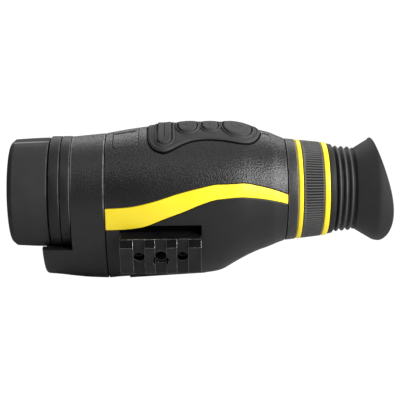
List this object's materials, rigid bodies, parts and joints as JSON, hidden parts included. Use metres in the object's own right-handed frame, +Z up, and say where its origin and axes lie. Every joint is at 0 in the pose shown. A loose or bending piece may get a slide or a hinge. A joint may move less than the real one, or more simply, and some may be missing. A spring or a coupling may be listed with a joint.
{
  "type": "thermal imaging monocular",
  "caption": "Hand-held thermal imaging monocular: capped objective, swelling body with keypad and side rail, diopter ring and folding rubber eyecup.",
  "frame": {"origin": "point on the flat rest face under the front housing, on the body's middle plane", "axes": "+X along the optical axis towards the eyepiece, +Z up towards the keypad, -Y towards the side with the accessory rail"},
  "size_m": [0.1786, 0.0704, 0.0765],
  "materials": {
    "grained_shell": "black moulded plastic with a coarse spark-eroded grain",
    "satin_shell": "black satin moulded plastic",
    "soft_rubber": "dark grey matt rubber",
    "black_rubber": "black ribbed rubber",
    "yellow_trim": "bright yellow smooth plastic",
    "anodised_rail": "black hard-anodised aluminium",
    "black_metal": "black blasted metal",
    "bright_steel": "bright steel",
    "insert_brass": "brass",
    "optical_glass": "coated optical glass",
    "germanium": "coated germanium",
    "circuit_board": "green solder mask",
    "flex_film": "amber polyimide film",
    "cell_wrap": "blue shrink wrap",
    "holder_black": "black plastic"
  },
  "bodies": {
    "housing": {"upper_shell": "grained_shell", "lower_shell": "satin_shell", "front_housing": "grained_shell", "side_stripe_left": "yellow_trim", "side_stripe_right": "yellow_trim", "housing_screw_1": "bright_steel", "housing_screw_2": "bright_steel", "housing_screw_3": "bright_steel", "housing_screw_4": "bright_steel", "keypad_membrane": "soft_rubber", "key_board": "circuit_board", "indicator_window": "optical_glass", "accessory_rail": "anodised_rail", "rail_screw_front": "black_metal", "rail_screw_rear": "black_metal", "tripod_insert": "insert_brass", "door_hinge_pin": "bright_steel", "battery_cell": "cell_wrap", "battery_cradle": "holder_black", "battery_contact_plus": "bright_steel", "battery_spring": "bright_steel", "bezel_ring": "satin_shell", "objective_barrel": "black_metal", "illuminator_lens": "optical_glass", "illuminator_emitter": "black_metal", "thermal_sensor": "black_metal", "sensor_frame": "black_metal", "sensor_board": "circuit_board", "main_board": "circuit_board", "board_screw": "bright_steel", "io_board": "circuit_board", "usb_port": "bright_steel", "sensor_ribbon": "flex_film", "display_ribbon": "flex_film", "eyepiece_collar": "satin_shell", "eyepiece_barrel": "black_metal", "display_holder": "holder_black", "display_module": "optical_glass"},
    "cap": {"lens_cap": "soft_rubber"},
    "focus": {"focus_ring": "satin_shell", "focus_sleeve": "satin_shell"},
    "objective": {"objective_cell": "black_metal", "objective_lens_front": "germanium", "objective_lens_rear": "germanium", "focus_key_pin": "bright_steel"},
    "key_mode": {"key_mode": "soft_rubber"},
    "key_zoom_in": {"key_zoom_in": "soft_rubber"},
    "key_zoom_out": {"key_zoom_out": "soft_rubber"},
    "key_power": {"key_power": "soft_rubber"},
    "port_flap": {"port_cover": "soft_rubber"},
    "door": {"battery_door": "satin_shell"},
    "diopter": {"diopter_ring": "black_rubber", "yellow_ring_front": "yellow_trim", "yellow_ring_rear": "yellow_trim"},
    "ocular": {"ocular_cell": "black_metal", "ocular_lens_front": "optical_glass", "ocular_lens_rear": "optical_glass"},
    "eyecup_mount": {"eyecup_base": "black_rubber", "eyecup_bellows": "black_rubber"},
    "eyecup": {"eyecup": "black_rubber"}
  },
  "joints": [
    {"name": "cap_pull", "type": "slide", "parent": "housing", "child": "cap", "axis": [-1, 0, 0], "range_m": [0, 0.025]},
    {"name": "focus_turn", "type": "hinge", "parent": "housing", "child": "focus", "pos_m": [-0.0165, 0, 0.04247], "axis": [1, 0, 0], "range_deg": [-100, 100]},
    {"name": "focus_travel", "type": "slide", "parent": "housing", "child": "objective", "axis": [1, 0, 0], "range_m": [-0.00138, 0.00138]},
    {"name": "key_mode_press", "type": "slide", "parent": "housing", "child": "key_mode", "axis": [0, 0, -1], "range_m": [0, 0.0006], "stiffness_N_per_m": 800},
    {"name": "key_zoom_in_press", "type": "slide", "parent": "housing", "child": "key_zoom_in", "axis": [0, 0, -1], "range_m": [0, 0.0006], "stiffness_N_per_m": 800},
    {"name": "key_zoom_out_press", "type": "slide", "parent": "housing", "child": "key_zoom_out", "axis": [0, 0, -1], "range_m": [0, 0.0006], "stiffness_N_per_m": 800},
    {"name": "key_power_press", "type": "slide", "parent": "housing", "child": "key_power", "axis": [0, 0, -1], "range_m": [0, 0.0006], "stiffness_N_per_m": 800},
    {"name": "port_flap_open", "type": "hinge", "parent": "housing", "child": "port_flap", "pos_m": [0.0165, 0.0119, 0.06941], "axis": [-0.9864, 0, -0.1646], "range_deg": [0, 100], "stiffness_Nm_per_rad": 0.01},
    {"name": "battery_door_open", "type": "hinge", "parent": "housing", "child": "door", "pos_m": [0.03506, 0.0094, 0.00289], "axis": [0.9985, 0, 0.0553], "range_deg": [0, 95]},
    {"name": "diopter_turn", "type": "hinge", "parent": "housing", "child": "diopter", "pos_m": [0.1036, 0, 0.04247], "axis": [1, 0, 0], "range_deg": [-110, 110]},
    {"name": "diopter_travel", "type": "slide", "parent": "housing", "child": "ocular", "axis": [1, 0, 0], "range_m": [-0.00183, 0.00183]},
    {"name": "eyecup_turn", "type": "hinge", "parent": "housing", "child": "eyecup_mount", "pos_m": [0.113, 0, 0.04247], "axis": [1, 0, 0], "continuous": true},
    {"name": "eyecup_press", "type": "slide", "parent": "eyecup_mount", "child": "eyecup", "axis": [-1, 0, 0], "range_m": [0, 0.004], "stiffness_N_per_m": 900, "deforming": ["eyecup_bellows"]}
  ],
  "couplings": [
    {"joint": "focus_turn", "follows": "focus_travel", "rad_per_m": -1256.6},
    {"joint": "diopter_turn", "follows": "diopter_travel", "rad_per_m": 1047.2}
  ]
}
